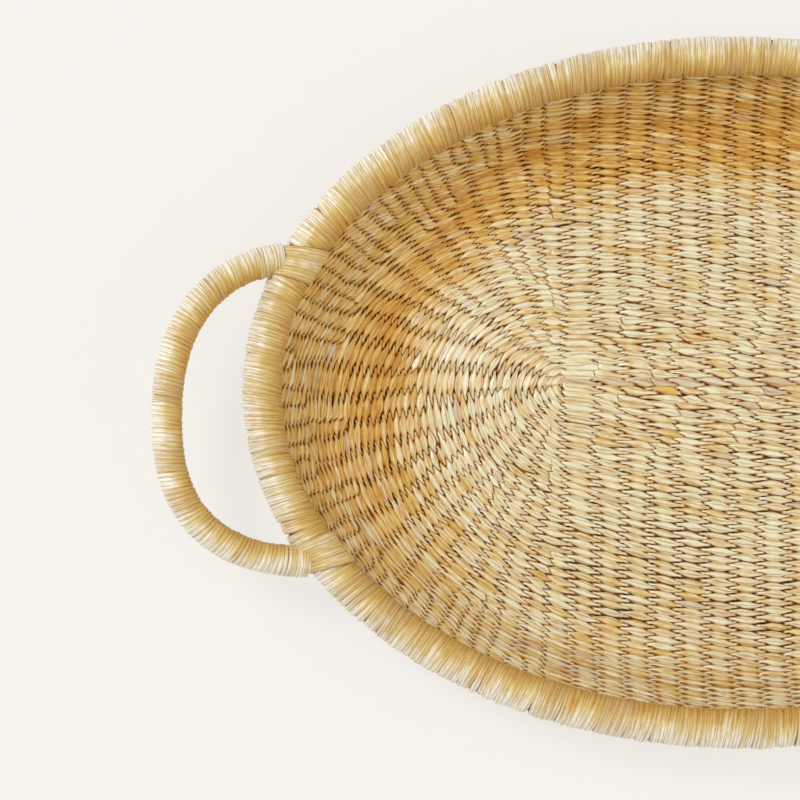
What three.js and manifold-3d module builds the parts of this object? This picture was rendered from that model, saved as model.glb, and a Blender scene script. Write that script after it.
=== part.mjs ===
// Oval tray twined from grass straw: stakes clamped between paired weft strands,
// a bound rim and two bound carrying handles lashed to it.
// Millimetres, +Z up, +X along the tray, origin under the middle of the floor.
import * as THREE from "three";
import { mergeVertices } from "three/addons/utils/BufferGeometryUtils.js";
import Module from "manifold-3d";

// Driving dimensions: the tray
const trayLength = 500; // over the bound rim, without the handles
const trayWidth = 360;
const trayHeight = 54; // floor to the top of the rim
const rimDiameter = 20; // over the binding
const wallSlope = 53; // degrees above the floor
const floorBend = 25; // radius where the floor turns up into the wall
const seamLength = 168; // the straight start of the weave, along X
const seamShift = 7; // of the seam from the middle of the tray, towards +Y

// Driving dimensions: the weave
const stakeWidth = 5;
const stakeThickness = 2;
const strandThickness = 2.2;
const weaveClearance = 0.5; // between a stake and the strands that clamp it
const courseGap = 0.5; // between one course of weft and the next
const courses = 14;
const fineCoursesFrom = 6; // courses inside this one are drawn with half the steps
const bentCoursesFrom = 9; // outside strands from this one out have a bent seat, to follow the wall
const seamWidth = 10;
const stakesPerFlat = 3; // cross stakes to each flat of a long side
const fanLap = 3; // of each fan straw on the bundle it spreads from

// Driving dimensions: the rim and its binding
const rimCoreDiameter = 14;
const seatClearance = 0.3;
const rimTurnsSide = 23; // turns along each long side
const rimTurnsEnd = 8; // turns between the two ends of a handle
const turnGap = 0.6; // between turns
const turnClearance = 0.5; // between a binding and the core inside it
const lashingLength = 29; // along the rim
const lashingStrips = 4;
const stripGroove = 0.8;

// Driving dimensions: the handles
const handleDiameter = 15.5; // over the binding
const handleCoreDiameter = 10.6;
const handleSpan = 153; // between its two ends, along Y
const handleShift = -9.2; // of the left handle's middle; the right one is turned half round
const handleReach = 73; // out from the middle of the line between its ends
const handleRise = 18;
const handleLean = -5.5; // of its outermost point, along Y
const handleSquareness = 2.4; // 2 is an ellipse, more is squarer
const handleTurns = 22;

// Facets
const sideSteps = 4;
const fanSteps = 14;
const rimSteps = 66;
const coreSides = 8;
const turnSteps = 7;
const handleSteps = 26;
const collarSteps = 2;
const lashingSides = 10;
const boreSteps = 3;
const bendSteps = 3;

// Sizes that follow
const rimRadius = rimDiameter / 2;
const rimCoreRadius = rimCoreDiameter / 2;
const rimCentreX = trayLength / 2 - rimRadius;
const rimCentreY = trayWidth / 2 - rimRadius;
const rimHeight = trayHeight - rimRadius;
const seamHalf = seamLength / 2;
const slope = THREE.MathUtils.degToRad(wallSlope);
const strandSeat = stakeThickness / 2 + weaveClearance; // from the middle of the weave
const floorMiddle = strandSeat + strandThickness;
const up = new THREE.Vector3(0, 0, 1);

const wasm = await Module();
wasm.setup();

function toSolid(geometry) {
  const bare = geometry.index ? geometry.toNonIndexed() : geometry.clone();
  bare.deleteAttribute("normal");
  bare.deleteAttribute("uv");
  const merged = mergeVertices(bare, 1e-4);
  return new wasm.Manifold(
    new wasm.Mesh({
      numProp: 3,
      vertProperties: merged.attributes.position.array,
      triVerts: new Uint32Array(merged.index.array),
    }),
  );
}

function toGeometry(solid) {
  const mesh = solid.getMesh();
  const geometry = new THREE.BufferGeometry();
  geometry.setAttribute("position", new THREE.BufferAttribute(mesh.vertProperties, 3));
  geometry.setIndex(new THREE.BufferAttribute(mesh.triVerts, 1));
  return geometry;
}

// A skin over a row of sections that all have the same number of points.
// A closed row joins its last section to its first; an open one gets flat ends.
function sweep(sections, closed) {
  const count = sections[0].length;
  const points = sections.flat();
  const index = [];
  const last = closed ? sections.length : sections.length - 1;
  for (let i = 0; i < last; i++) {
    const here = i * count;
    const next = ((i + 1) % sections.length) * count;
    for (let j = 0; j < count; j++) {
      const k = (j + 1) % count;
      index.push(here + j, here + k, next + k, here + j, next + k, next + j);
    }
  }
  if (!closed) {
    const end = (sections.length - 1) * count;
    for (let j = 1; j < count - 1; j++) {
      index.push(0, j + 1, j, end, end + j, end + j + 1);
    }
  }
  const geometry = new THREE.BufferGeometry().setFromPoints(points);
  if (signedVolume(points, index) < 0) index.reverse();
  geometry.setIndex(index);
  return geometry;
}

function signedVolume(points, index) {
  const normal = new THREE.Vector3();
  let sum = 0;
  for (let i = 0; i < index.length; i += 3) {
    normal.crossVectors(points[index[i + 1]], points[index[i + 2]]);
    sum += points[index[i]].dot(normal);
  }
  return sum;
}

// The tray's surface
// A spoke is the line that a stake follows in plan, from the seam out to the middle of the rim.
// Along the seam the spokes lie square to it; round each end of the seam they fan out.
const bendRun = floorBend * Math.sin(slope);
const bendRise = floorBend * (1 - Math.cos(slope));
const wallRise = rimHeight - floorMiddle - bendRise;
const wallToRim = wallRise / Math.sin(slope);
const wallStraight = wallToRim - rimRadius - seatClearance; // stops under the binding
const wallRun = bendRun + wallToRim * Math.cos(slope); // from the flat floor to the rim's middle

function spoke(anchorX, dirX, dirY) {
  const a = (dirX / rimCentreX) ** 2 + (dirY / rimCentreY) ** 2;
  const b = (anchorX * dirX) / rimCentreX ** 2 + (seamShift * dirY) / rimCentreY ** 2;
  const c = (anchorX / rimCentreX) ** 2 + (seamShift / rimCentreY) ** 2 - 1;
  const reach = (Math.sqrt(b * b - a * c) - b) / a;
  const floorLength = reach - wallRun;
  const slant = floorLength + floorBend * slope + wallStraight;
  return { anchorX, dirX, dirY, floorLength, slant };
}

function sideSpoke(x, sign) {
  return spoke(x, 0, sign);
}

function fanSpoke(end, angle) {
  return spoke(end * seamHalf, end * Math.sin(angle), Math.cos(angle));
}

const sideSlant = (sideSpoke(0, 1).slant + sideSpoke(0, -1).slant) / 2;
const meanSlant = (fanSpoke(1, Math.PI / 2).slant + sideSlant) / 2;

// A point of the weave: share runs from 0 at the seam to 1 under the rim, and depth is measured
// from the middle of the weave towards the inside of the tray.
function weavePoint(line, share, depth) {
  const slant = share * ((1 - share) * meanSlant + share * line.slant);
  const turned = THREE.MathUtils.clamp((slant - line.floorLength) / floorBend, 0, slope);
  const straight = Math.max(0, slant - line.floorLength - floorBend * slope);
  const flat = Math.min(slant, line.floorLength);
  const out = flat + floorBend * Math.sin(turned) + straight * Math.cos(turned) - depth * Math.sin(turned);
  const rise = floorBend * (1 - Math.cos(turned)) + straight * Math.sin(turned) + depth * Math.cos(turned);
  return new THREE.Vector3(
    line.anchorX + line.dirX * out,
    seamShift + line.dirY * out,
    floorMiddle + rise,
  );
}

// Spokes all the way round the tray, with steps to each long side and to each end.
function spokesAround(alongSide, roundEnd) {
  const lines = [];
  for (const end of [1, -1]) {
    for (let i = 0; i < roundEnd; i++) {
      lines.push(fanSpoke(end, ((end > 0 ? roundEnd - i : i) / roundEnd) * Math.PI));
    }
    for (let i = 0; i < alongSide; i++) {
      lines.push(sideSpoke(end * seamHalf * (1 - (2 * i) / alongSide), end));
    }
  }
  return lines;
}

const fineSpokes = spokesAround(sideSteps, fanSteps);
const coarseSpokes = spokesAround(sideSteps / 2, fanSteps / 2);

// Weft: each course is a pair of strands, one on the inside of the stakes and one on the outside.
const firstShare = (seamWidth / 2 + courseGap) / meanSlant;
const courseShare = (1 - firstShare + courseGap / meanSlant) / courses;
const strandShare = courseShare - courseGap / meanSlant;

function courseEdges(course) {
  const inner = firstShare + course * courseShare;
  return [inner, inner + strandShare];
}

function weftStrand(course, side) {
  const [inner, outer] = courseEdges(course);
  const crownInner = THREE.MathUtils.lerp(inner, outer, 0.2);
  const crownOuter = THREE.MathUtils.lerp(inner, outer, 0.8);
  const seat = side * strandSeat;
  const crown = side * (strandSeat + strandThickness);
  const lines = course < fineCoursesFrom ? coarseSpokes : fineSpokes;
  const sections = lines.map((line) => {
    const section = [
      weavePoint(line, inner, seat),
      weavePoint(line, crownInner, crown),
      weavePoint(line, crownOuter, crown),
      weavePoint(line, outer, seat),
    ];
    if (side < 0 && course >= bentCoursesFrom) section.push(weavePoint(line, (inner + outer) / 2, seat));
    return section;
  });
  return sweep(sections, true);
}

// Stakes: flattened straws in the middle of the weave. Each lies between two neighbouring spokes,
// so that it follows the same flats as the strands on either side of it.
function stakeSection(lines, place, share) {
  const [first, second] = lines;
  const across = weavePoint(second, 1, 0).sub(weavePoint(first, 1, 0)).normalize();
  const half = stakeWidth / 2;
  const corners = [
    [half, -stakeThickness / 2],
    [half, stakeThickness / 2],
    [-half, stakeThickness / 2],
    [-half, -stakeThickness / 2],
  ];
  return corners.map(([w, depth]) => {
    const between = weavePoint(first, share, depth).lerp(weavePoint(second, share, depth), place);
    return between.addScaledVector(across, w);
  });
}

// The share of a spoke's length that lies a given slant distance out from the seam.
function shareAtSlant(line, slant) {
  const extra = line.slant - meanSlant;
  if (Math.abs(extra) < 1e-9) return slant / meanSlant;
  return (Math.sqrt(meanSlant ** 2 + 4 * extra * slant) - meanSlant) / (2 * extra);
}

// Sections from under the rim in to the start of the floor's bend.
function stakeArm(lines, place) {
  const floorLength = THREE.MathUtils.lerp(lines[0].floorLength, lines[1].floorLength, place);
  const shares = [1];
  for (let i = bendSteps; i >= 0; i--) {
    shares.push(shareAtSlant(lines[0], floorLength + (floorBend * slope * i) / bendSteps));
  }
  return shares.map((share) => stakeSection(lines, place, share));
}

// A straw from rim to rim across the seam, at a place along one flat of each long side.
function crossStake(flat, place) {
  const edges = [flat, flat + 1].map((i) => seamHalf * ((2 * i) / sideSteps - 1));
  const near = stakeArm(edges.map((x) => sideSpoke(x, 1)), place);
  const far = stakeArm(edges.map((x) => sideSpoke(x, -1)), place);
  return sweep([...near, ...far.reverse()], false);
}

// The straws that run along the seam spread into a fan at each end of it, one to each flat.
// Where they still lie side by side they make one flat bundle.
function fan(end) {
  const clearOfEachOther = stakeWidth / 2 / Math.sin(Math.PI / 2 / fanSteps) + seatClearance;
  const radius = clearOfEachOther + fanLap;
  const outline = new THREE.Shape();
  outline.moveTo(-fanLap, -radius);
  outline.absarc(0, 0, radius, -Math.PI / 2, Math.PI / 2, false);
  outline.lineTo(-fanLap, radius);
  const thickness = stakeThickness * 0.9;
  const bundle = new THREE.ExtrudeGeometry(outline, {
    depth: thickness,
    bevelEnabled: false,
    curveSegments: fanSteps,
  });
  if (end < 0) bundle.rotateZ(Math.PI);
  bundle.translate(end * seamHalf, seamShift, floorMiddle - thickness / 2);
  let solid = toSolid(bundle);
  for (let i = 0; i < fanSteps; i++) {
    const lines = [i, i + 1].map((step) => fanSpoke(end, (step / fanSteps) * Math.PI));
    const root = stakeSection(lines, 0.5, clearOfEachOther / meanSlant);
    solid = solid.add(toSolid(sweep([...stakeArm(lines, 0.5), root], false)));
  }
  return toGeometry(solid);
}

// The first row over the seam, and the one under it.
function seamRow(bottom) {
  const half = seamWidth / 2;
  const outline = new THREE.Shape();
  outline.absarc(seamHalf, 0, half, -Math.PI / 2, Math.PI / 2, false);
  outline.absarc(-seamHalf, 0, half, Math.PI / 2, (3 * Math.PI) / 2, false);
  const row = new THREE.ExtrudeGeometry(outline, {
    depth: strandThickness,
    bevelEnabled: false,
    curveSegments: 6,
  });
  row.translate(0, seamShift, bottom);
  return row;
}

// The rim
class RimCurve extends THREE.Curve {
  getPoint(t, target = new THREE.Vector3()) {
    const angle = 2 * Math.PI * t;
    return target.set(rimCentreX * Math.cos(angle), rimCentreY * Math.sin(angle), rimHeight);
  }
}
const rimCurve = new RimCurve();
rimCurve.arcLengthDivisions = 720;
const rimLength = rimCurve.getLength();

// A round section square to a curve. u may run past the ends of a closed curve.
function frameAt(curve, u) {
  const tangent = curve.getTangentAt(u);
  const side = new THREE.Vector3().crossVectors(tangent, up).normalize();
  return { centre: curve.getPointAt(u), side, above: new THREE.Vector3().crossVectors(side, tangent) };
}

function polar(frame, radius, angle) {
  return frame.centre
    .clone()
    .addScaledVector(frame.side, radius * Math.cos(angle))
    .addScaledVector(frame.above, radius * Math.sin(angle));
}

function roundSection(frame, radius, sides) {
  return Array.from({ length: sides }, (_, i) => polar(frame, radius, (2 * Math.PI * i) / sides));
}

function rimTube(radius, from, to, steps, sides, closed) {
  const count = closed ? steps : steps + 1;
  const sections = Array.from({ length: count }, (_, i) => {
    const distance = from + ((to - from) * i) / steps;
    return roundSection(frameAt(rimCurve, wrap(distance / rimLength)), radius, sides);
  });
  return sweep(sections, closed);
}

function wrap(u) {
  return u - Math.floor(u);
}

// Distance along the rim, from its +X end towards +Y, to the point on one half of it at a given Y.
function rimDistanceAt(y, end) {
  const angle = Math.asin(y / rimCentreY);
  const t = wrap((end > 0 ? angle : Math.PI - angle) / (2 * Math.PI));
  const lengths = rimCurve.getLengths();
  const place = t * (lengths.length - 1);
  const below = Math.floor(place);
  return THREE.MathUtils.lerp(lengths[below], lengths[below + 1], place - below);
}

// Windings
// One unbroken strip wound round a curve, from one distance along it to another.
function winding(curve, from, to, turns, innerRadius, outerRadius) {
  const length = curve.getLength();
  const pitch = (to - from + turnGap) / (turns + 1);
  const width = pitch - turnGap;
  const crownWidth = width * 0.55;
  const sections = [];
  for (let i = 0; i <= turns * turnSteps; i++) {
    const angle = (2 * Math.PI * i) / turnSteps;
    const middle = from + width / 2 + (pitch * i) / turnSteps;
    const corner = (offset, radius) => {
      const u = curve === rimCurve ? wrap((middle + offset) / length) : (middle + offset) / length;
      return polar(frameAt(curve, THREE.MathUtils.clamp(u, 0, 1)), radius, angle);
    };
    sections.push([
      corner(-width / 2, innerRadius),
      corner(width / 2, innerRadius),
      corner(crownWidth / 2, outerRadius),
      corner(-crownWidth / 2, outerRadius),
    ]);
  }
  return { geometry: sweep(sections, false), leastGap: leastGap(sections) };
}

// The least distance between one turn of a strip and the next, on its corner points.
function leastGap(sections) {
  let least = Infinity;
  for (let i = 0; i + turnSteps < sections.length; i++) {
    for (const point of [sections[i][1], sections[i][2]]) {
      for (const other of [sections[i + turnSteps][0], sections[i + turnSteps][3]]) {
        least = Math.min(least, point.distanceTo(other));
      }
    }
  }
  return least;
}

// Handles
class HandleCurve extends THREE.Curve {
  constructor(end) {
    super();
    this.end = end;
    const shift = -end * handleShift;
    this.ends = [-1, 1].map((sign) => {
      const y = shift + (sign * handleSpan) / 2;
      return { x: end * rimCentreX * Math.sqrt(1 - (y / rimCentreY) ** 2), y };
    });
  }
  getPoint(t, target = new THREE.Vector3()) {
    const angle = Math.PI * (t - 0.5);
    const power = 2 / handleSquareness;
    const along = (1 + Math.sign(Math.sin(angle)) * Math.abs(Math.sin(angle)) ** power) / 2;
    const out = Math.max(0, Math.cos(angle)) ** power;
    const [first, second] = this.ends;
    const betweenEnds = THREE.MathUtils.lerp(first.x, second.x, along);
    const middle = (first.x + second.x) / 2;
    return target.set(
      THREE.MathUtils.lerp(betweenEnds, middle, out) + this.end * handleReach * out,
      THREE.MathUtils.lerp(first.y, second.y, along) - this.end * handleLean * out,
      rimHeight + handleRise * out,
    );
  }
}

// How far in from a handle's end its binding can start, clear of the rim's lashing.
function bindingStart(curve, fromFarEnd) {
  const length = curve.getLength();
  const clear = rimRadius + seatClearance;
  for (let distance = rimRadius; distance < length / 2; distance += 0.25) {
    const u = (fromFarEnd ? length - distance : distance) / length;
    const ring = roundSection(frameAt(curve, u), handleDiameter / 2, coreSides);
    if (ring.every((point) => distanceToRim(point) > clear)) return distance;
  }
  return length / 2;
}

function distanceToRim(point) {
  const steps = 720;
  let nearest = Infinity;
  for (let i = 0; i < steps; i++) {
    nearest = Math.min(nearest, rimPoints[i].distanceTo(point));
  }
  return nearest;
}
const rimPoints = Array.from({ length: 720 }, (_, i) => rimCurve.getPoint(i / 720));

function handleTube(curve, radius, from = 0, to = 1, steps = handleSteps) {
  const sections = Array.from({ length: steps + 1 }, (_, i) =>
    roundSection(frameAt(curve, THREE.MathUtils.lerp(from, to, i / steps)), radius, coreSides),
  );
  return sweep(sections, false);
}

// The handle's core is coped to sit against the rim's core.
function handleCore(curve) {
  const rimSeat = rimTube(rimCoreRadius + seatClearance, 0, rimLength, rimSteps * 2, lashingSides, true);
  return toGeometry(toSolid(handleTube(curve, handleCoreDiameter / 2)).subtract(toSolid(rimSeat)));
}

// Broad strips bind each end of a handle to the rim's core: a sleeve with a groove between strips,
// and a collar of wraps on the handle's core, up to where its binding starts.
function lashing(distance, handle, farEnd) {
  const from = distance - lashingLength / 2;
  const steps = lashingStrips * 2;
  const sections = Array.from({ length: steps + 1 }, (_, i) => {
    const u = wrap((from + (lashingLength * i) / steps) / rimLength);
    const radius = rimRadius - (i % 2 ? 0 : stripGroove);
    return roundSection(frameAt(rimCurve, u), radius, lashingSides);
  });
  const boreRadius = (rimCoreRadius + seatClearance) / Math.cos(Math.PI / lashingSides);
  const bore = rimTube(boreRadius, from - 1, from + lashingLength + 1, boreSteps, lashingSides, false);
  const passage = handleTube(handle, handleCoreDiameter / 2 + seatClearance);
  const reach = (bindingStart(handle, farEnd) - turnGap) / handle.getLength();
  const [low, high] = farEnd ? [1 - reach, 1] : [0, reach];
  const collar = handleTube(handle, handleDiameter / 2 - stripGroove, low, high, collarSteps);
  return toGeometry(
    toSolid(sweep(sections, false)).add(toSolid(collar)).subtract(toSolid(bore)).subtract(toSolid(passage)),
  );
}

// Materials
function straw(colour, roughness) {
  return new THREE.MeshStandardMaterial({ color: colour, roughness, metalness: 0 });
}
const floorStraw = straw("#d8bd7f", 0.6);
const stakeStraw = straw("#b8914f", 0.7);
const bindingStraw = straw("#e3cd92", 0.5);
const coreStraw = straw("#a98248", 0.8);

// The tray, put together from the floor up
const tray = new THREE.Group();

function add(name, geometry, material) {
  geometry.computeVertexNormals();
  const mesh = new THREE.Mesh(geometry, material);
  mesh.name = name;
  tray.add(mesh);
}

function twoDigits(number) {
  return String(number).padStart(2, "0");
}

for (let i = 0; i < sideSteps * stakesPerFlat; i++) {
  const place = ((i % stakesPerFlat) + 0.5) / stakesPerFlat;
  const stake = crossStake(Math.floor(i / stakesPerFlat), place);
  add(`cross_stake_${twoDigits(i + 1)}`, stake, stakeStraw);
}
add("fan_stakes_left", fan(-1), stakeStraw);
add("fan_stakes_right", fan(1), stakeStraw);
add("seam_row_face", seamRow(floorMiddle + strandSeat), floorStraw);
add("seam_row_back", seamRow(0), floorStraw);
for (let course = 0; course < courses; course++) {
  add(`weft_face_${twoDigits(course + 1)}`, weftStrand(course, 1), floorStraw);
  add(`weft_back_${twoDigits(course + 1)}`, weftStrand(course, -1), floorStraw);
}
add("rim_core", rimTube(rimCoreRadius, 0, rimLength, rimSteps, coreSides, true), coreStraw);

const turnInside = (rimCoreRadius + turnClearance) / Math.cos(Math.PI / turnSteps);
const handleInside = (handleCoreDiameter / 2 + turnClearance) / Math.cos(Math.PI / turnSteps);
const joints = [];
for (const [name, end] of [
  ["left", -1],
  ["right", 1],
]) {
  const curve = new HandleCurve(end);
  const length = curve.getLength();
  add(`handle_core_${name}`, handleCore(curve), coreStraw);
  const bound = winding(
    curve,
    bindingStart(curve, false),
    length - bindingStart(curve, true),
    handleTurns,
    handleInside,
    handleDiameter / 2,
  );
  console.log(`handle_binding_${name}: least gap to itself ${bound.leastGap.toFixed(2)} mm`);
  add(`handle_binding_${name}`, bound.geometry, bindingStraw);
  curve.ends.forEach(({ y }, i) => {
    const distance = rimDistanceAt(y, end);
    joints.push({ end, front: i === 0, distance });
    add(`lashing_${name}_${i === 0 ? "front" : "back"}`, lashing(distance, curve, i === 1), bindingStraw);
  });
}

// The rim's binding runs in four stretches, between one lashing and the next.
function stretch(name, first, second, turns) {
  const from = first.distance + lashingLength / 2 + turnGap;
  const past = second.distance < first.distance ? rimLength : 0;
  const to = second.distance + past - lashingLength / 2 - turnGap;
  const bound = winding(rimCurve, from, to, turns, turnInside, rimRadius);
  console.log(`${name}: least gap to itself ${bound.leastGap.toFixed(2)} mm`);
  add(name, bound.geometry, bindingStraw);
}

function joint(end, front) {
  return joints.find((one) => one.end === end && one.front === front);
}

stretch("rim_binding_back", joint(1, false), joint(-1, false), rimTurnsSide);
stretch("rim_binding_left", joint(-1, false), joint(-1, true), rimTurnsEnd);
stretch("rim_binding_front", joint(-1, true), joint(1, true), rimTurnsSide);
stretch("rim_binding_right", joint(1, true), joint(1, false), rimTurnsEnd);

export default tray;
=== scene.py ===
import math

import bpy
import numpy as np
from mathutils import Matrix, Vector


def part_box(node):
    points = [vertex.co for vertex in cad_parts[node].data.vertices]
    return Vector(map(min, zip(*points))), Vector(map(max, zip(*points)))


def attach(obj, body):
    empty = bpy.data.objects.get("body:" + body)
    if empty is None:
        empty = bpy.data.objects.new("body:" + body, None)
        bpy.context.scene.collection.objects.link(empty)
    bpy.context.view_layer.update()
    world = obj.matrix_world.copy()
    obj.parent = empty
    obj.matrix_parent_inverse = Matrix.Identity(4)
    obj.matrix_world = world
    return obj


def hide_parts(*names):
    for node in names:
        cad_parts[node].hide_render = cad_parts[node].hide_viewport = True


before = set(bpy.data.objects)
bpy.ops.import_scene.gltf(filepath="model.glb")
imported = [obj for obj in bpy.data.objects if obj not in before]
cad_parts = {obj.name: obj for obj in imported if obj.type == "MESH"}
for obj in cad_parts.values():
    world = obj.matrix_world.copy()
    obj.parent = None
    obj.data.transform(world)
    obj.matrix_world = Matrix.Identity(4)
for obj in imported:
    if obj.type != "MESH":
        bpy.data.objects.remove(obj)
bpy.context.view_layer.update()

# Camera
# The photograph looks down on the left end of the tray, a few degrees from straight above, and cuts
# off the right end. Its middle lies over this point of the rim's plane, and its frame is this wide.
view_middle = (-0.1706, -0.0050)
view_width = 0.4028
view_tilt = math.radians(-4)
camera_distance = 1.8
rim_low, rim_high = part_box("rim_core")
rim_height = (rim_low.z + rim_high.z) / 2
lens = bpy.data.cameras.new("camera")
lens.sensor_width = 36
lens.lens = lens.sensor_width * camera_distance / view_width
camera = bpy.data.objects.new("camera", lens)
camera.location = (
    view_middle[0],
    view_middle[1] + camera_distance * math.sin(view_tilt),
    rim_height + camera_distance * math.cos(view_tilt),
)
camera.rotation_euler = (-view_tilt, 0, 0)
bpy.context.scene.collection.objects.link(camera)
bpy.context.scene.camera = camera
bpy.context.scene.view_settings.view_transform = "Standard"


# Floor and light
# A warm white sheet under the tray. Daylight comes from a window at the upper left of the photograph,
# a large reflector at the lower right fills the shadows, and a white wall on the left brightens them.
paper_white = "#f5f2ed"
paper_size = 8
shadow_hidden = 0.8


def linear(hex_colour):
    channels = [int(hex_colour[i : i + 2], 16) / 255 for i in (1, 3, 5)]
    return [c / 12.92 if c <= 0.04045 else ((c + 0.055) / 1.055) ** 2.4 for c in channels] + [1]


def add_node(tree, kind, inputs, **settings):
    node = tree.nodes.new("ShaderNode" + kind)
    for name, value in settings.items():
        setattr(node, name, value)
    for name, value in inputs.items():
        if isinstance(value, bpy.types.NodeSocket):
            tree.links.new(value, node.inputs[name])
        else:
            node.inputs[name].default_value = value
    return node


bpy.ops.object.select_all(action="DESELECT")
bpy.ops.mesh.primitive_plane_add(size=paper_size)
floor = bpy.context.object
floor.name = "floor"
paper = bpy.data.materials.new("matt_white_paper")
paper.use_nodes = True
paper_tree = paper.node_tree
paper_shader = paper_tree.nodes["Principled BSDF"]
paper_shader.inputs["Base Color"].default_value = linear(paper_white)
paper_shader.inputs["Roughness"].default_value = 0.9
# Overexposed white, as in the photograph: round the tray the sheet shows a fifth of the shadow that
# falls on it, and under the tray, inside its rim, all of it
glow = add_node(paper_tree, "Emission", {"Color": linear(paper_white), "Strength": 0.985})
ray = add_node(paper_tree, "LightPath", {})
seen = ray.outputs["Is Camera Ray"]
for kind in ("Is Glossy Ray", "Is Transmission Ray"):
    either = add_node(paper_tree, "Math", {0: seen, 1: ray.outputs[kind]}, operation="MAXIMUM")
    seen = either.outputs["Value"]
spot = add_node(paper_tree, "TexCoord", {})
oval = add_node(
    paper_tree,
    "Mapping",
    {"Vector": spot.outputs["Object"], "Scale": (1 / rim_high.x, 1 / rim_high.y, 1)},
)
from_middle = add_node(paper_tree, "VectorMath", {0: oval.outputs["Vector"]}, operation="LENGTH")
outside = add_node(
    paper_tree,
    "MapRange",
    {"Value": from_middle.outputs["Value"], "From Min": 0.8, "From Max": 1.0, "To Max": shadow_hidden},
)
share = add_node(paper_tree, "Math", {0: seen, 1: outside.outputs["Result"]}, operation="MULTIPLY")
sheet = add_node(
    paper_tree,
    "MixShader",
    {0: share.outputs["Value"], 1: paper_shader.outputs["BSDF"], 2: glow.outputs["Emission"]},
)
paper_tree.links.new(sheet.outputs["Shader"], paper_tree.nodes["Material Output"].inputs["Surface"])
floor.data.materials.append(paper)

sky = bpy.data.worlds.new("soft_daylight")
sky.use_nodes = True
sky.node_tree.nodes["Background"].inputs["Color"].default_value = linear("#fffdfa")
sky.node_tree.nodes["Background"].inputs["Strength"].default_value = 0.5
bpy.context.scene.world = sky


def add_lamp(name, shape, size, energy, location):
    light = bpy.data.lights.new(name, "AREA")
    light.shape = shape
    light.size = size
    light.energy = energy
    lamp = bpy.data.objects.new(name, light)
    lamp.location = location
    lamp.rotation_euler = (-lamp.location).to_track_quat("-Z", "Y").to_euler()
    bpy.context.scene.collection.objects.link(lamp)


add_lamp("window", "DISK", 0.8, 33, (-1.5, 0.8, 2.4))
add_lamp("reflector", "SQUARE", 3.4, 38, (1.9, -0.9, 1.6))
add_lamp("white_wall", "SQUARE", 2.0, 14, (-2.4, 0.6, 0.9))

# Stakes
# Flattened straws that the tray is woven on. They lie square to the seam along its length and fan
# out round its ends, where new ones are pushed in between as the fan opens. Sizes are in mm.
mm = 0.001
luck = np.random.default_rng(11)
core_radius = (rim_high.z - rim_low.z) / 2 / mm
rim_x = rim_high.x / mm - core_radius
rim_y = rim_high.y / mm - core_radius
rim_z = rim_height / mm
seam_low, seam_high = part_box("seam_row_face")
seam_half = ((seam_high.x - seam_low.x) - (seam_high.y - seam_low.y)) / 2 / mm
seam_y = (seam_low.y + seam_high.y) / 2 / mm
weave_low, weave_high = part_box("seam_row_back")[0].z / mm, seam_high.z / mm
floor_middle = (weave_low + weave_high) / 2
weave_half = (weave_high - weave_low) / 2
wall_slope = math.radians(53)
floor_bend = 25
rim_radius = 10
bend_run = floor_bend * math.sin(wall_slope)
bend_rise = floor_bend * (1 - math.cos(wall_slope))
wall_to_rim = (rim_z - floor_middle - bend_rise) / math.sin(wall_slope)
tucked_under_rim = 2.5
wall_straight = wall_to_rim - rim_radius + tucked_under_rim
wall_run = bend_run + wall_to_rim * math.cos(wall_slope)
fan_share = 0.3
side_share = 0.2
row_sag = 6.0


def spoke_at(place):
    """Where a stake would start on the seam and which way it runs, for places 0 to 1 round the tray."""
    place = np.mod(place, 1.0)
    half = np.where(place < 0.5, 1.0, -1.0)
    along = np.mod(place, 0.5)
    fan_angle = (np.minimum(along, fan_share) / fan_share - 0.5) * math.pi
    side = np.clip((along - fan_share) / side_share, 0, 1)
    anchor = half * seam_half * (1 - 2 * side)
    return anchor, half * np.cos(fan_angle), half * np.sin(fan_angle)


def spoke_lengths(anchor, dir_x, dir_y):
    """Length of flat floor along a spoke, and its whole slant length to the underside of the rim."""
    a = (dir_x / rim_x) ** 2 + (dir_y / rim_y) ** 2
    b = anchor * dir_x / rim_x**2 + seam_y * dir_y / rim_y**2
    c = (anchor / rim_x) ** 2 + (seam_y / rim_y) ** 2 - 1
    flat = (np.sqrt(b * b - a * c) - b) / a - wall_run
    return flat, flat + floor_bend * wall_slope + wall_straight


end_slant = spoke_lengths(*spoke_at(np.array([fan_share / 2])))[1][0]
side_slant = spoke_lengths(*spoke_at(fan_share + side_share / 2 + np.array([0, 0.5])))[1].mean()
mean_slant = (end_slant + side_slant) / 2


def weave_surface(place, out, across, depth):
    """Points of the weave and the directions square to it. out is the distance from the seam of a row
    on a spoke of mean length, across is measured on from there, and depth is towards the inside."""
    anchor, dir_x, dir_y = spoke_at(place)
    flat, slant = spoke_lengths(anchor, dir_x, dir_y)
    share = out / mean_slant
    # Rows bow: they lie nearer the seam's line at its two ends than at its middle. The most, row_sag,
    # is a third of the way out, where share * (1 - share) ** 2 is 1 / 6.75
    sag = row_sag * 6.75 * share * (1 - share) ** 2 * (anchor / seam_half * dir_y) ** 2
    run = share * ((1 - share) * mean_slant + share * slant) - sag + across
    turned = np.clip((run - flat) / floor_bend, 0, wall_slope)
    straight = np.maximum(0, run - flat - floor_bend * wall_slope)
    reach = np.minimum(run, flat) + floor_bend * np.sin(turned) + straight * np.cos(turned)
    reach = reach - depth * np.sin(turned)
    rise = floor_bend * (1 - np.cos(turned)) + straight * np.sin(turned) + depth * np.cos(turned)
    points = np.stack([anchor + dir_x * reach, seam_y + dir_y * reach, floor_middle + rise], axis=1)
    square = np.stack([-dir_x * np.sin(turned), -dir_y * np.sin(turned), np.cos(turned)], axis=1)
    return points, square


blade_run = 18
blade_twist = 2 * math.pi / 3 / blade_run
grain_length = 900


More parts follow.
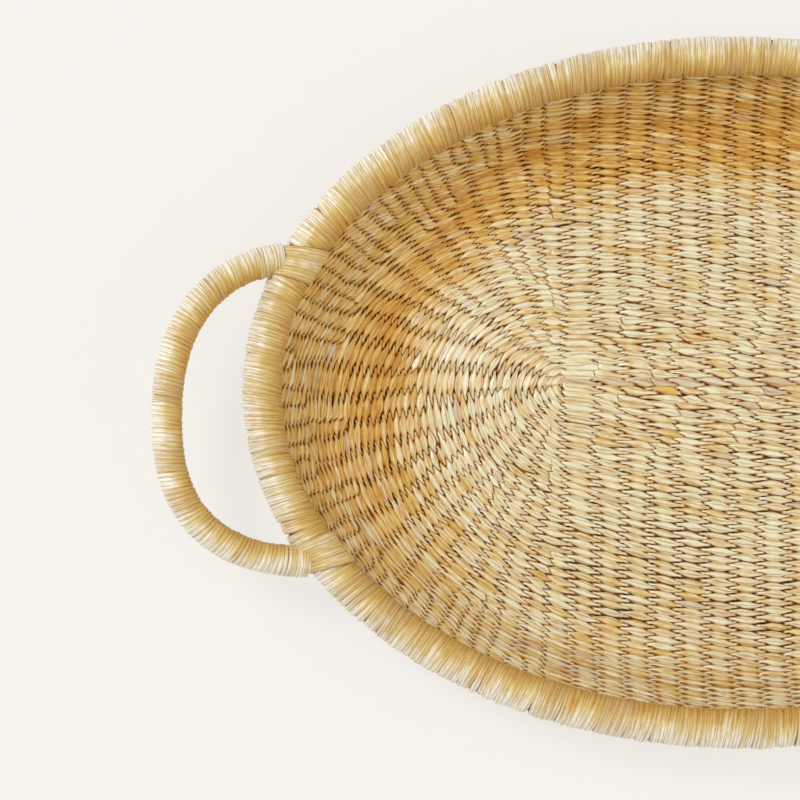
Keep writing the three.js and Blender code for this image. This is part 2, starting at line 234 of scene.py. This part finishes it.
def straw(
    centres,
    square,
    half_width,
    half_thickness,
    sides,
    looks,
    roundness=1.0,
    painted_edge_shade=0.0,
    lobes=0.0,
    painted_under_shade=0.0,
):
    """One closed length of straw through the centres, flattened towards square. looks holds tone,
    greyness and painted shade for each centre. roundness 1 is an oval, and less is squarer. The edge
    argument paints shade on the two edges, and lobes is how deep the grooves are between the three
    blades of grass that are twisted together. The last argument paints shade on the face that square
    points to where other straw lies over it, or on the far face where it is under 0. The grain starts
    anywhere, so no two lengths look the same."""
    along = np.gradient(centres, axis=0)
    width = np.cross(square, along)
    width = width / np.linalg.norm(width, axis=1, keepdims=True)
    square = square / np.linalg.norm(square, axis=1, keepdims=True)
    turn = np.linspace(0, 2 * math.pi, sides, endpoint=False)
    count = len(centres)
    thick = np.sign(np.sin(turn)) * np.abs(np.sin(turn)) ** roundness
    steps = np.linalg.norm(np.diff(centres, axis=0), axis=1)
    u = luck.uniform(0, grain_length) + np.concatenate([[0], np.cumsum(steps)])
    grooved = half_thickness[:, None] + lobes * np.sin(3 * turn + (u * blade_twist)[:, None])
    ring = (
        width[:, None] * (half_width[:, None] * np.cos(turn))[..., None]
        + square[:, None] * (thick * grooved)[..., None]
    )
    corner = np.arange(count * sides).reshape(count, sides)
    beside = np.roll(corner, -1, axis=1)
    quads = np.stack([corner[:-1], beside[:-1], beside[1:], corner[1:]], axis=-1).reshape(-1, 4)
    v = np.arange(sides + 1) / sides * 4 * np.mean(half_width)
    u, v = np.meshgrid(u, v, indexing="ij")
    here, there = slice(0, -1), slice(1, None)
    corners = [(here, here), (here, there), (there, there), (there, here)]
    uv = np.stack([np.stack([u[c], v[c]], -1) for c in corners], axis=2).reshape(-1, 4, 2)
    looks = np.repeat(looks[:, None], sides, axis=1)
    # Shade painted on the two edges, and on the face that lies under other straw
    looks[..., 2] += np.multiply.outer(painted_edge_shade * np.ones(count), np.abs(np.cos(turn)) ** 5)
    looks[..., 2] += np.clip(np.multiply.outer(painted_under_shade * np.ones(count), np.sin(turn)), 0, 1)
    return {
        "points": (centres[:, None] + ring).reshape(-1, 3),
        "quads": quads,
        "ends": [corner[0][::-1], corner[-1]],
        "uv": uv,
        "looks": np.clip(looks, 0, 1).reshape(-1, 3),
    }


def straw_piece(name, straws, material):
    """Joins lengths of straw into one piece."""
    offsets = np.cumsum([0] + [len(s["points"]) for s in straws])
    points = np.concatenate([s["points"] for s in straws]) * mm
    quads = np.concatenate([s["quads"] + o for s, o in zip(straws, offsets)])
    ends = [end + o for s, o in zip(straws, offsets) for end in s["ends"]]
    end_sizes = np.array([len(end) for end in ends])
    corners = np.concatenate([quads.ravel(), *ends])
    sizes = np.concatenate([np.full(len(quads), 4), end_sizes])
    mesh = bpy.data.meshes.new(name)
    mesh.vertices.add(len(points))
    mesh.vertices.foreach_set("co", points.ravel().astype(np.float32))
    mesh.loops.add(len(corners))
    mesh.loops.foreach_set("vertex_index", corners.astype(np.int32))
    mesh.polygons.add(len(sizes))
    mesh.polygons.foreach_set("loop_start", np.concatenate([[0], np.cumsum(sizes)[:-1]]).astype(np.int32))
    mesh.polygons.foreach_set("use_smooth", np.ones(len(sizes), bool))
    side_uv = np.concatenate([s["uv"] for s in straws]).reshape(-1, 2)
    uv = np.concatenate([side_uv, np.zeros((end_sizes.sum(), 2))])
    mesh.uv_layers.new(name="straw_mm").data.foreach_set("uv", uv.ravel().astype(np.float32))
    looks = np.concatenate([s["looks"] for s in straws])
    colour = np.concatenate([looks, np.ones((len(looks), 1))], axis=1)
    attribute = mesh.attributes.new("straw", "FLOAT_COLOR", "POINT")
    attribute.data.foreach_set("color", colour.ravel().astype(np.float32))
    mesh.update()
    mesh.validate()
    mesh.materials.append(material)
    piece = bpy.data.objects.new(name, mesh)
    bpy.context.scene.collection.objects.link(piece)
    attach(piece, "root")
    return piece


def dry_grass(name, deep, middle, pale, roughness, blade_width):
    """Dry grass: waxy, finely ribbed along its length, and never twice the same colour. The looks
    of each length of straw shift it from deep to pale, towards grey, and to brown where shade is painted
    in the gaps."""
    grass = bpy.data.materials.new(name)
    grass.use_nodes = True
    tree = grass.node_tree
    looks = add_node(tree, "Attribute", {}, attribute_name="straw")
    parts = add_node(tree, "SeparateColor", {"Color": looks.outputs["Color"]})
    along = add_node(tree, "UVMap", {}, uv_map="straw_mm")
    # Ribs that run on for some length, and the wandering lines where one blade of grass meets the next
    ribs_at = add_node(
        tree,
        "Mapping",
        {
            "Vector": along.outputs["UV"],
            "Rotation": (0, 0, math.radians(6)),
            "Scale": (1 / blade_run, 1 / blade_width, 1),
        },
    )
    ribs = add_node(
        tree,
        "TexNoise",
        {"Vector": ribs_at.outputs["Vector"], "Scale": 2.0, "Detail": 3.0, "Roughness": 0.65},
    )
    blades = add_node(
        tree,
        "TexWave",
        {
            "Vector": ribs_at.outputs["Vector"],
            "Scale": 0.314,
            "Distortion": 3.0,
            "Detail": 2.0,
            "Detail Scale": 4.0,
        },
        bands_direction="Y",
    )
    parting = add_node(
        tree,
        "MapRange",
        {"Value": blades.outputs["Fac"], "From Min": 0.78, "From Max": 0.98, "To Max": 0.62},
    )
    stain_at = add_node(tree, "Mapping", {"Vector": along.outputs["UV"], "Scale": (0.14, 0.3, 1)})
    stain = add_node(
        tree, "TexNoise", {"Vector": stain_at.outputs["Vector"], "Scale": 1.0, "Detail": 2.0}
    )
    # Both shift the tone up and down
    tone = parts.outputs["Red"]
    for pattern, low, high, most in ((ribs, 0.32, 0.68, 0.28), (stain, 0.3, 0.7, 0.15)):
        shift = add_node(
            tree,
            "MapRange",
            {
                "Value": pattern.outputs["Fac"],
                "From Min": low,
                "From Max": high,
                "To Min": -most,
                "To Max": most,
            },
        )
        shifted = add_node(tree, "Math", {0: tone, 1: shift.outputs["Result"]}, operation="ADD")
        tone = shifted.outputs["Value"]
    ramp = add_node(tree, "ValToRGB", {"Fac": tone})
    ramp.color_ramp.elements[0].color = linear(deep)
    ramp.color_ramp.elements[1].color = linear(pale)
    ramp.color_ramp.elements.new(0.5).color = linear(middle)
    greyed = add_node(
        tree,
        "MixRGB",
        {"Fac": parts.outputs["Green"], "Color1": ramp.outputs["Color"], "Color2": linear("#c6b193")},
    )
    parted = add_node(
        tree,
        "MixRGB",
        {
            "Fac": parting.outputs["Result"],
            "Color1": greyed.outputs["Color"],
            "Color2": linear("#a66a24"),
        },
    )
    # Painted shade: orange-brown, and darker brown where the painted shade is deepest
    gap_painted_shade = add_node(
        tree,
        "MixRGB",
        {"Fac": parts.outputs["Blue"], "Color1": linear("#b86818"), "Color2": linear("#783000")},
    )
    shaded = add_node(
        tree,
        "MixRGB",
        {"Fac": parts.outputs["Blue"], "Color1": parted.outputs["Color"], "Color2": gap_painted_shade.outputs["Color"]},
    )
    relief = add_node(
        tree, "Math", {0: ribs.outputs["Fac"], 1: parting.outputs["Result"]}, operation="SUBTRACT"
    )
    bump = add_node(
        tree, "Bump", {"Height": relief.outputs["Value"], "Strength": 0.25, "Distance": 0.5 * mm}
    )
    rough = add_node(
        tree,
        "MapRange",
        {"Value": stain.outputs["Fac"], "To Min": roughness - 0.1, "To Max": roughness + 0.1},
    )
    shader = tree.nodes["Principled BSDF"]
    tree.links.new(shaded.outputs["Color"], shader.inputs["Base Color"])
    tree.links.new(rough.outputs["Result"], shader.inputs["Roughness"])
    tree.links.new(bump.outputs["Normal"], shader.inputs["Normal"])
    fibres = add_node(tree, "Tangent", {}, direction_type="UV_MAP", uv_map="straw_mm")
    tree.links.new(fibres.outputs["Tangent"], shader.inputs["Tangent"])
    shader.inputs["IOR"].default_value = 1.62
    shader.inputs["Anisotropic"].default_value = 0.5
    shader.inputs["Anisotropic Rotation"].default_value = 0.25
    # Pale straw is glossy, and deep-toned straw and the gaps, where shade is painted, are dull
    pale_gloss = add_node(
        tree,
        "MapRange",
        {"Value": parts.outputs["Red"], "From Min": 0.3, "From Max": 0.85, "To Min": 0.08, "To Max": 1.0},
    )
    open_gloss = add_node(
        tree,
        "MapRange",
        {"Value": parts.outputs["Blue"], "From Max": 0.5, "To Min": 1.0, "To Max": 0.0},
    )
    gloss = add_node(
        tree,
        "Math",
        {0: pale_gloss.outputs["Result"], 1: open_gloss.outputs["Result"]},
        operation="MULTIPLY",
    )
    tree.links.new(gloss.outputs["Value"], shader.inputs["Specular IOR Level"])
    return grass


stake_spacing = 14.0
stake_half_width = 2.2
stake_half_thickness = 1.2
stake_sides = 6
stake_points = 24
fan_gap_limit = 18.5
least_new_stake = 8


def fan_insertions(low, high, start, edge_room):
    """Straws pushed in between two stakes of a fan, each where the gap has opened too far."""
    width = math.radians(high - low)
    begin = max(start, (fan_gap_limit * luck.uniform(0.82, 1.15) - edge_room) / width)
    if begin > mean_slant - least_new_stake:
        return []
    middle = (low + high) / 2
    below = fan_insertions(low, middle, begin, edge_room if low == -90 else 0)
    above = fan_insertions(middle, high, begin, edge_room if high == 90 else 0)
    return below + [(middle, begin)] + above


side_count = round(2 * seam_half / stake_spacing)
# The first stakes of a fan: the angle of each and how far from the end of the seam it starts
first_fan = [(-60, 14.0), (-30, 7.0), (0, 4.0), (30, 7.0), (60, 14.0)]
stake_lines = []
for half in (0, 1):
    edges = [-90, *[angle for angle, begin in first_fan], 90]
    angles = list(first_fan)
    for low, high in zip(edges, edges[1:]):
        room = stake_spacing / 2 if low == -90 or high == 90 else 0
        angles += fan_insertions(low, high, 0.0, room)
    for angle, begin in angles:
        stake_lines.append((half * 0.5 + (angle / 180 + 0.5) * fan_share, begin))
    for i in range(side_count):
        stake_lines.append((half * 0.5 + fan_share + (i + 0.5) / side_count * side_share, 0.0))
stake_lines.sort()

stake_straws = []
for place, begin in stake_lines:
    out = np.linspace(max(0.0, begin - 6), mean_slant, stake_points)
    centres, square = weave_surface(np.full(stake_points, place), out, 0, 0)
    # A stake that is pushed in starts thin
    swell = np.minimum(1, 0.35 + (out - out[0]) / 14) if begin else np.ones(stake_points)
    # Shade is painted on the stakes all over, as they lie under the weft: the last value
    looks = np.tile([luck.uniform(0.1, 0.5), 0, 0.25], (stake_points, 1))
    stake_straws.append(
        straw(centres, square, stake_half_width * swell, stake_half_thickness * swell, stake_sides, looks)
    )
stake_grass = dry_grass("dry_grass_stakes", "#985312", "#b66e1f", "#cb8e3e", 0.6, 0.8)
stakes = straw_piece("stakes", stake_straws, stake_grass)
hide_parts(*[f"cross_stake_{i:02d}" for i in range(1, 13)], "fan_stakes_left", "fan_stakes_right")

# Weft
# Two strands of twisted grass that spiral from the seam to the rim. They clamp each stake between
# them and change places before the next, so every stitch lies over one stake and slants a little.
row_pitch = 3.55
fat_rows = 1.25
stitch_half_width = 1.9
blade_groove = 0.16
twist_sway = 0.95
strand_sides = 12
# A stitch from its middle, over a stake, to the crossing half way to the next stake: the places along
# it, how high its middle lies there as a share of the most, its half thickness, its share of the full
# width, and how much shade is painted on its edges
stitch_at = [0.0, 0.16, 0.3, 0.42, 0.5]
stitch_rise = [1.0, 0.75, 0.44, 0.16, 0.0]
stitch_thick = [1.2, 1.75, 2.35, 2.72, 2.8]
stitch_wide = [1.09, 1.05, 0.78, 0.52, 0.41]
stitch_edge_painted_shade = [0.16, 0.36, 1.0, 0.95, 0.75]
stitch_parts = np.array(stitch_at + [0.58, 0.7, 0.84])
stitch_round = 0.24
odd_share = 0.035
twist_rise = weave_half - stitch_thick[0] - blade_groove
row_outs = [0.0]
while row_outs[-1] < mean_slant - 0.4 * row_pitch:
    fatness = fat_rows if len(row_outs) < 3 else 1.0
    row_outs.append(row_outs[-1] + row_pitch * fatness * luck.uniform(0.95, 1.05))
turns = len(row_outs) - 1
# The first row lies along the seam. Each turn moves out by one row as it passes round the left end
spiral_marks = [0.0] + [turn + part for turn in range(turns) for part in (0.5, 0.8)]
spiral_outs = [0.0] + [row_outs[turn + more] for turn in range(turns) for more in (0, 1)]
seam_start = fan_share


def row_out(spiral):
    return np.interp(spiral, spiral_marks, spiral_outs)


crossings = []
for turn in range(turns):
    for number, (place, begin) in enumerate(stake_lines):
        out = row_out(turn + place)
        if turn + place >= seam_start and begin <= out:
            # Stakes wander a little, and each stitch sits a little to one side of its stake
            wander = 1.3 * math.sin(2.4 * number + out / 11) + luck.normal(0, 0.65)
            crossings.append(turn + place + wander / max(250, math.pi / fan_share * out))
crossings = np.sort(crossings)
stitch_total = len(crossings)
strand_sizes = []
for phase in (0, 1):
    slow = np.convolve(luck.normal(0, 1, stitch_total + 24), np.ones(25) / 25, "valid") * 5
    # A few stitches are grey, and so is the first row, along the seam
    odd = luck.random(stitch_total) < odd_share
    odd[:side_count] = True
    tones = 0.85 + 0.04 * slow + luck.normal(0, 0.1, stitch_total)
    odd_greys = luck.uniform(0.3, 0.75, stitch_total)
    strand_sizes.append(
        {
            "tone": tones,
            "grey": np.where(odd, odd_greys, luck.uniform(0, 0.1, stitch_total)),
            "size": luck.uniform(0.86, 1.14, stitch_total),
            "lift": -np.abs(luck.normal(0, 0.25, stitch_total)),
            "drift": luck.normal(0, 0.22, stitch_total),
        }
    )


def weft_strand(first, last, phase):
    """One strand from one stitch to another. It shows on the inside at every second stake."""
    sizes = strand_sizes[phase]
    stitch = np.repeat(np.arange(first, last), len(stitch_parts))
    part = np.tile(stitch_parts, last - first)
    stitch = np.append(stitch, last - 1)
    part = np.append(part, 1.0)
    ease = part * part * (3 - 2 * part)
    size, lift, drift = (
        sizes[kind][stitch] * (1 - ease) + sizes[kind][stitch + 1] * ease
        for kind in ("size", "lift", "drift")
    )
    near = np.where(part < 0.5, stitch, stitch + 1)
    spiral = crossings[stitch] + (crossings[stitch + 1] - crossings[stitch]) * part
    angle = math.pi * (stitch + part + phase)
    out = row_out(spiral)
    fat = np.interp(out, [0, 2 * row_pitch, 4 * row_pitch], [fat_rows, fat_rows, 1.0])
    # Rows waver a little, least near the seam
    wave = 0.5 * np.sin(2 * math.pi * (6 * spiral + out / 95))
    wave = wave + 0.4 * np.sin(2 * math.pi * (11 * spiral - out / 70))
    wave = wave * np.minimum(1, out / 40)
    over = np.sign(np.cos(angle))
    half_way = np.minimum(part, 1 - part)
    depth = (twist_rise + lift) * over * np.interp(half_way, stitch_at, stitch_rise)
    # Looser in a band where the floor turns up into the wall, with shade painted there as a deeper tone
    # and darker edges, least at the front
    dir_x, dir_y = spoke_at(spiral)[1:]
    front = np.maximum(0, -dir_y)
    band = 0.73 - 0.15 * np.abs(dir_x) + 0.08 * front
    from_band = out / mean_slant - band
    steep = np.interp(from_band, [-0.12, 0.08], [0, 1])
    sway = twist_sway * fat * (1 + 0.35 * steep) * np.sin(angle)
    centres, square = weave_surface(spiral, out, sway + drift + wave, depth)
    loose_and_shaded = np.interp(from_band, [-0.22, -0.03, 0.05, 0.2, 0.3], [0, 1, 1, 0.5, 0.4])
    loose_and_shaded = loose_and_shaded * (1 - 0.6 * front**2)
    wide = np.interp(half_way, stitch_at, stitch_wide)
    half_width = stitch_half_width * fat * size * (1 + 0.08 * loose_and_shaded) * wide
    half_thickness = np.interp(half_way, stitch_at, stitch_thick) - 0.4 * loose_and_shaded * half_way
    band_painted_shade = np.interp(from_band, [-0.22, -0.03, 0.05, 0.2], [0, 0.54, 0.54, 0.36])
    tone = sizes["tone"][near] - band_painted_shade * (1 - 0.85 * front**2)
    looks = np.stack([tone, sizes["grey"][near], np.zeros(len(tone))], axis=1)
    # Shade painted on the edges: more towards the crossings than over the stake, and more in the band and
    # on the steep wall
    edge_painted_shade = np.interp(half_way, stitch_at, stitch_edge_painted_shade) + 0.5 * loose_and_shaded + 0.3 * steep
    # Shade painted on the face that lies under other straw, from the stitch's middle to near the crossing
    painted_under_shade = -over * np.interp(half_way, [0.3, 0.42], [1, 0])
    return straw(
        centres,
        square,
        half_width,
        half_thickness,
        strand_sides,
        looks,
        stitch_round,
        edge_painted_shade,
        blade_groove,
        painted_under_shade,
    )


weft_grass = dry_grass("dry_grass_twisted", "#c08532", "#deb964", "#ebe7c2", 0.4, 1.5)
course_count = 14
piece_count = 7
piece_ends = np.linspace(0, stitch_total - 1, piece_count + 1).astype(int)
courses_left = list(range(1, course_count + 1))
for number in range(piece_count):
    first, last = piece_ends[number], piece_ends[number + 1]
    strands = [weft_strand(first, last, phase) for phase in (0, 1)]
    weft = straw_piece(f"weft_{number + 1}", strands, weft_grass)
    reached = row_out(crossings[last]) / mean_slant * course_count
    own = [course for course in courses_left if course <= reached or number == piece_count - 1]
    courses_left = [course for course in courses_left if course not in own]
    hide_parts(*[f"weft_{face}_{course:02d}" for course in own for face in ("face", "back")])
    if number == 0:
        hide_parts("seam_row_face", "seam_row_back")

# Rim core
# A hoop of bundled straw that the rim's binding is wound on. It shows only between the wraps.
core_sides = 10
# Tone, greyness and shade for the cores; shade is painted all over them, as they lie under the wraps
core_tone_and_painted_shade = [0.5, 0, 0.2]
rim_core_inset = 1.4
hoop_points = 121
rim_points = 2881
rim_angle = np.linspace(0, 2 * math.pi, rim_points)
rim_path = np.stack([rim_x * np.cos(rim_angle), rim_y * np.sin(rim_angle)], axis=1)
rim_run = np.concatenate([[0], np.cumsum(np.linalg.norm(np.diff(rim_path, axis=0), axis=1))])
rim_length = rim_run[-1]


def rim_frame(distance):
    """Points on the middle of the rim, the directions out from the tray there, and up."""
    angle = np.interp(np.mod(distance, rim_length), rim_run, rim_angle)
    point = np.stack([rim_x * np.cos(angle), rim_y * np.sin(angle), np.full(len(angle), rim_z)], axis=1)
    out = np.stack([rim_y * np.cos(angle), rim_x * np.sin(angle), np.zeros(len(angle))], axis=1)
    up = np.tile([0.0, 0.0, 1.0], (len(angle), 1))
    return point, out / np.linalg.norm(out, axis=1, keepdims=True), up


core_grass = dry_grass("dry_grass_bundled", "#99692c", "#b68847", "#caa468", 0.7, 1.2)
hoop_halves = []
for start in (0, 0.5):
    centres, out, up = rim_frame((start + np.linspace(0, 0.5, hoop_points)) * rim_length)
    size = np.full(hoop_points, rim_radius - rim_core_inset)
    looks = np.tile(core_tone_and_painted_shade, (hoop_points, 1))
    hoop_halves.append(straw(centres, out, size, size, core_sides, looks))
hoop = straw_piece("rim_core_straw", hoop_halves, core_grass)
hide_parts("rim_core")

# Rim binding
# Straw wound tightly round the hoop, in four stretches between the ends of the handles. Where one
# straw ends and the next begins, the wraps are thinner and greyer, and cross each other.
wrap_pitch = 3.4
wrap_half_thickness = 1.3
wrap_width_share = 0.64
wrap_round = 0.45
wrap_steps = 16
wrap_sides = 10
splice_spacing = 34
handle_span = 153
handle_shift = -9.2


def smooth_luck(count, run):
    """Random values that change slowly from wrap to wrap."""
    return np.convolve(luck.normal(0, 1, count + run - 1), np.ones(run) / math.sqrt(run), "valid")


def wound_straw(
    frame_of, start, end, pitch, thickness, radius, tone_middle, lean_middle, painted_light_side, slack
):
    """A strip of straw wound round a path, with light painted on one side as a paler tone. frame_of gives
    the path's frames, lean_middle is how far the wraps lean, and slack is how uneven they are."""
    wraps = max(3, round((end - start) / pitch))
    count = wraps * wrap_steps + 1
    wrap = np.arange(count) / wrap_steps
    index = np.minimum(wrap.astype(int), wraps - 1)
    mixed = wrap - index
    spread = luck.normal(0, 0.15 * slack, wraps + 1)
    lean = lean_middle + slack * (0.45 * smooth_luck(wraps + 1, 9) + luck.normal(0, 0.45, wraps + 1))
    arc = 0.35 * slack * smooth_luck(wraps + 1, 5)
    swell = luck.normal(0, 0.2 * slack, wraps + 1)
    broad = luck.uniform(0.88, 1.2, wraps + 1)
    tone = tone_middle + luck.normal(0, 0.08, wraps + 1)
    grey = luck.uniform(0, 0.1, wraps + 1)
    splice = luck.uniform(0.3, 0.8) * splice_spacing / pitch
    while splice < wraps - 4:
        near = slice(int(splice), int(splice) + luck.integers(3, 6))
        grey[near] = luck.uniform(0.1, 0.35)
        tone[near] -= 0.12
        broad[near] *= 0.92
        lean[near] += luck.normal(0, 0.25 * slack)
        splice += luck.uniform(0.6, 1.4) * splice_spacing / pitch

    def follow(values):
        return values[index] * (1 - mixed) + values[index + 1] * mixed

    turn = 2 * math.pi * wrap
    travel = start + (end - start) * wrap / wraps + follow(spread)
    travel = travel - follow(lean) * np.cos(turn) + follow(arc) * np.sin(turn)
    point, side, up = frame_of(np.clip(travel, start, end))
    away = side * np.cos(turn)[:, None] + up * np.sin(turn)[:, None]
    centres = point + away * (radius - thickness + follow(swell))[:, None]
    half_width = pitch * wrap_width_share * follow(broad)
    # Light painted on one side: the tone is paler where the wraps face side and deeper on the far side
    looks = np.stack([tone[index] + painted_light_side * np.cos(turn), grey[index], np.zeros(count)], axis=1)
    # Shade painted on the edges of the wraps, most at the two sides of the bar, so brown shows between
    # them there
    edge_painted_shade = 0.16 + 0.5 * slack * np.cos(turn) ** 6
    half_thickness = np.full(count, thickness)
    return straw(
        centres, away, half_width, half_thickness, wrap_sides, looks, wrap_round, edge_painted_shade, blade_groove
    )


def rim_distance(x_sign, y):
    angle = math.asin(y / rim_y)
    angle = angle if x_sign > 0 else math.pi - angle
    return float(np.interp(angle % (2 * math.pi), rim_angle, rim_run))


joint_ys = {
    -1: [handle_shift - handle_span / 2, handle_shift + handle_span / 2],
    1: [-handle_shift - handle_span / 2, -handle_shift + handle_span / 2],
}
right_back = rim_distance(1, joint_ys[1][1])
left_back = rim_distance(-1, joint_ys[-1][1])
left_front = rim_distance(-1, joint_ys[-1][0])
right_front = rim_distance(1, joint_ys[1][0])
binding_grass = dry_grass("dry_grass_split", "#c89e50", "#d9c17c", "#f4f0de", 0.44, 1.3)
for name, first, second in (
    ("back", right_back, left_back),
    ("left", left_back, left_front),
    ("front", left_front, right_front),
    ("right", right_front, right_back + rim_length),
):
    wound = wound_straw(
        rim_frame,
        first + 1,
        second - 1,
        wrap_pitch,
        wrap_half_thickness,
        rim_radius,
        tone_middle=0.5,
        lean_middle=0.6,
        painted_light_side=0.62,
        slack=1.0,
    )
    binding = straw_piece(f"rim_binding_{name}_straw", [wound], binding_grass)
    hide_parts(f"rim_binding_{name}")

# Handles
# A bowed bar at each end, bound with straw from rim to rim. Its last wraps at each end are drawn
# tight into a collar, and broad strips tie the collar down over the rim.
handle_radius = 7.75
handle_reach = 73
handle_rise = 18
handle_lean = -5.5
handle_squareness = 2.4
handle_core_inset = 1.3
handle_wrap_pitch = 2.7
handle_wrap_half_thickness = 0.9
handle_points = 721
heading_step = 8
bar_points = 81
collar_length = 14
collar_pitch = 1.9
collar_rise = 0.35
strip_count = 3
strip_half_thickness = 0.7
strip_round = 0.8
# Shade painted on the edges of the lashing strips
strip_edge_painted_shade = 0.45
strip_rise = 0.6
strip_start = 20
strip_bend = 7.5
strip_turn = (0.9, 3.6)
strip_width_share = 0.56
strip_start_points = 8
strip_top_points = 24
strip_points = strip_start_points + strip_top_points
for name, sign in (("left", -1), ("right", 1)):
    low_y, high_y = joint_ys[sign]
    end_x = [sign * rim_x * math.sqrt(1 - (y / rim_y) ** 2) for y in (low_y, high_y)]
    sweep = np.linspace(-math.pi / 2, math.pi / 2, handle_points)
    along = (1 + np.sign(sweep) * np.abs(np.sin(sweep)) ** (2 / handle_squareness)) / 2
    bow = np.maximum(0, np.cos(sweep)) ** (2 / handle_squareness)
    between_ends = end_x[0] + (end_x[1] - end_x[0]) * along
    path = np.stack(
        [
            between_ends * (1 - bow) + sum(end_x) / 2 * bow + sign * handle_reach * bow,
            low_y + (high_y - low_y) * along - sign * handle_lean * bow,
            rim_z + handle_rise * bow,
        ],
        axis=1,
    )
    run = np.concatenate([[0], np.cumsum(np.linalg.norm(np.diff(path, axis=0), axis=1))])
    tangent = np.gradient(path, run, axis=0)
    tangent /= np.linalg.norm(tangent, axis=1, keepdims=True)

    def handle_frame(distance):
        """Points on the middle of the handle, the directions level across it, and square to both."""
        point = np.stack([np.interp(distance, run, path[:, i]) for i in range(3)], axis=1)
        toward = np.stack([np.interp(distance, run, tangent[:, i]) for i in range(3)], axis=1)
        side = np.cross(toward, [0.0, 0.0, 1.0])
        side /= np.linalg.norm(side, axis=1, keepdims=True)
        up = np.cross(side, toward)
        return point, side, up / np.linalg.norm(up, axis=1, keepdims=True)

    steps = np.linspace(rim_radius * 0.6, run[-1] - rim_radius * 0.6, bar_points)
    centres, side, up = handle_frame(steps)
    size = np.full(bar_points, handle_radius - handle_core_inset)
    bar = straw(centres, side, size, size, core_sides, np.tile(core_tone_and_painted_shade, (bar_points, 1)))
    core = straw_piece(f"handle_core_{name}_straw", [bar], core_grass)
    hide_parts(f"handle_core_{name}")

    inner = rim_radius + collar_length
    wound = wound_straw(
        handle_frame,
        inner,
        run[-1] - inner,
        handle_wrap_pitch,
        handle_wrap_half_thickness,
        handle_radius,
        tone_middle=0.54,
        lean_middle=0.5,
        painted_light_side=0.6 * sign,
        slack=0.4,
    )
    binding = straw_piece(f"handle_binding_{name}_straw", [wound], binding_grass)
    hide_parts(f"handle_binding_{name}")

    for end, y, begin, finish, heading in (
        ("front", low_y, rim_radius, inner, tangent[heading_step]),
        ("back", high_y, run[-1] - inner, run[-1] - rim_radius, -tangent[-1 - heading_step]),
    ):
        collar = wound_straw(
            handle_frame,
            begin,
            finish,
            collar_pitch,
            handle_wrap_half_thickness,
            handle_radius + collar_rise,
            tone_middle=0.65,
            lean_middle=0.2,
            painted_light_side=0.3 * sign,
            slack=0.5,
        )
        joint = rim_distance(sign, y)
        point, out, up = rim_frame(np.array([joint]))
        beside = np.cross(up[0], out[0])
        skew = heading.dot(beside) / heading.dot(out[0])
        strips = [collar]
        for i in range(strip_count):
            place = (i - (strip_count - 1) / 2) / strip_count
            # Each strip comes out from under the collar, over the top of the rim and down its inner side
            top = np.linspace(*strip_turn, strip_top_points)
            over_rim = rim_radius + strip_rise
            coming_in = np.linspace(strip_start, strip_bend, strip_start_points)
            from_rim = np.concatenate([coming_in, over_rim * np.cos(top)])
            bulge = handle_radius * (1 - 2 * place * place)
            rising = np.linspace(bulge - 1.2, over_rim * math.sin(top[0]), strip_start_points + 1)[:-1]
            height = np.concatenate([rising, over_rim * np.sin(top)])
            spread = 13 + 9 * np.linspace(0, 1, strip_points)
            # The strips follow the handle's skew outside the rim, and less of it over the top
            beyond_edge = from_rim - rim_radius
            followed = np.where(beyond_edge > 0, 1, 0.45)
            shift = place * spread + skew * (rim_radius + followed * beyond_edge)
            point, out, up = rim_frame(joint + shift)
            centres = point + out * from_rim[:, None] + up * height[:, None]
            away = out * np.clip(from_rim / rim_radius, -1, 0.5)[:, None]
            away = away + up * np.maximum(height, 1)[:, None] / rim_radius
            looks = np.tile([luck.uniform(0.4, 0.75), luck.uniform(0, 0.1), 0], (strip_points, 1))
            half_width = spread / strip_count * strip_width_share
            half_thickness = np.full(strip_points, strip_half_thickness)
            strips.append(
                straw(
                    centres,
                    away,
                    half_width,
                    half_thickness,
                    wrap_sides,
                    looks,
                    strip_round,
                    strip_edge_painted_shade,
                )
            )
        lashing = straw_piece(f"lashing_{name}_{end}_straw", strips, binding_grass)
        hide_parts(f"lashing_{name}_{end}")
